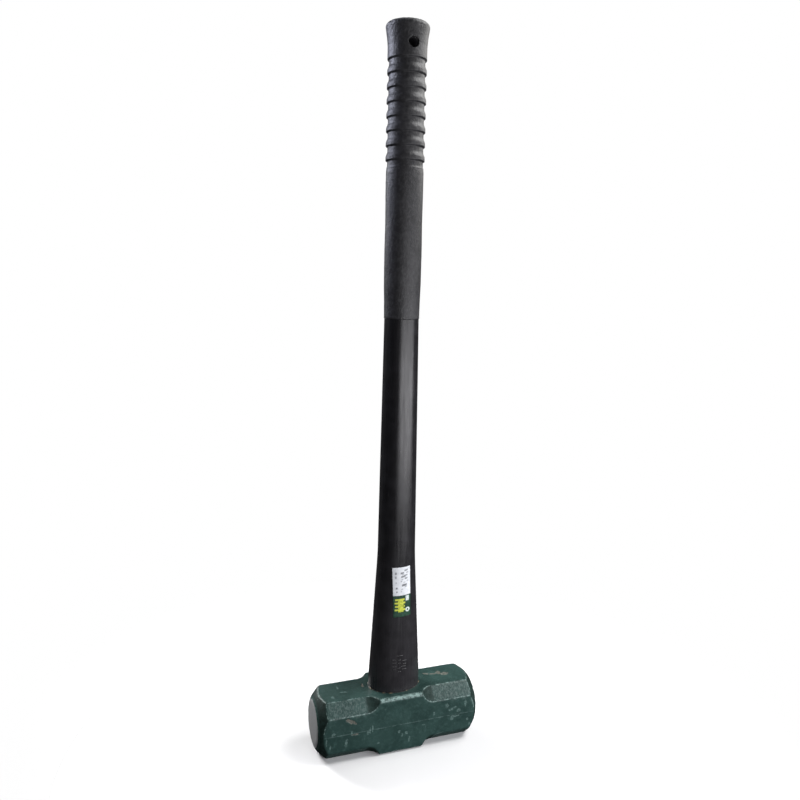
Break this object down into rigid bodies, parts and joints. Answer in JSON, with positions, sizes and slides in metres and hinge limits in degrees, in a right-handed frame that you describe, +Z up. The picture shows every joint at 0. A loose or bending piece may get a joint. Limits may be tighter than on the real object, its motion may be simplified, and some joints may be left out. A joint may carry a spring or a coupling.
{
  "type": "sledge hammer",
  "caption": "Long-handled sledge hammer with a chamfered square forged head and a moulded handle with a ribbed grip, used for driving posts and stakes.",
  "frame": {"origin": "centre of the head's flat underside, on the handle's axis", "axes": "+Z up the handle towards the grip, X along the head from striking face to striking face, -Y towards the side with the labels"},
  "size_m": [0.216, 0.074, 0.9],
  "materials": {
    "head_paint": "dark green enamel on a forged surface, worn pale along the edges, with bare steel on the striking faces",
    "glass_fibre": "pultruded glass-fibre rod",
    "jacket_plastic": "black moulded polypropylene, semi-gloss",
    "grip_rubber": "matte charcoal rubber",
    "potting_resin": "cured epoxy, tan and slightly crumbled at its edge",
    "green_label": null,
    "white_label": null
  },
  "bodies": {
    "root": {"head": "head_paint", "fibreglass_core": "glass_fibre", "handle_jacket": "jacket_plastic", "grip_sleeve": "grip_rubber", "eye_potting": "potting_resin", "resin_bead": "potting_resin", "brand_label": "green_label", "price_label": "white_label"}
  },
  "joints": []
}
